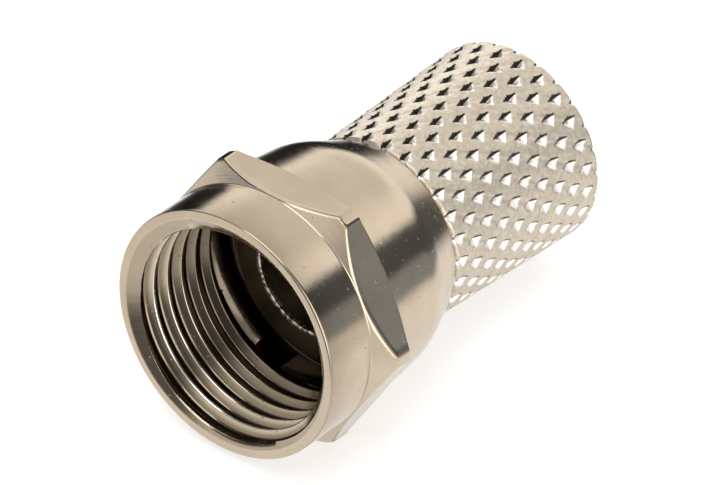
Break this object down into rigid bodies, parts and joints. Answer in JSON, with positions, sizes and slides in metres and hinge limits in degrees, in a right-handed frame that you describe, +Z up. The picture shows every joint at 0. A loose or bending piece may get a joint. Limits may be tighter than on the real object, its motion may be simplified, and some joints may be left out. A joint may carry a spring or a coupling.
{
  "type": "twist-on F connector",
  "caption": "Coaxial plug for a thin cable: a hex coupling nut that swivels on a hollow post, with a diamond-knurled sleeve that screws onto the cable jacket.",
  "frame": {"origin": "centre of the coupling nut's threaded hole where the thread begins, 0.4 mm behind the nut's open face", "axes": "+X along the connector's axis out of the mating end, so the cable leaves toward -X; +Z up, square to one of the hex flats, with the opposite flat on the ground side"},
  "size_m": [0.0183, 0.0124, 0.011],
  "materials": {
    "nut_plating": "bright nickel plate over turned brass",
    "post_plating": "thin dull nickel plate over brass",
    "sleeve_plating": "bright nickel plate over rolled knurl"
  },
  "bodies": {
    "body": {"knurled_sleeve": "sleeve_plating", "post": "post_plating"},
    "nut": {"coupling_nut": "nut_plating"}
  },
  "joints": [
    {"name": "nut_swivel", "type": "hinge", "parent": "body", "child": "nut", "pos_m": [-0.0075, 0, 0], "axis": [1, 0, 0], "continuous": true}
  ]
}
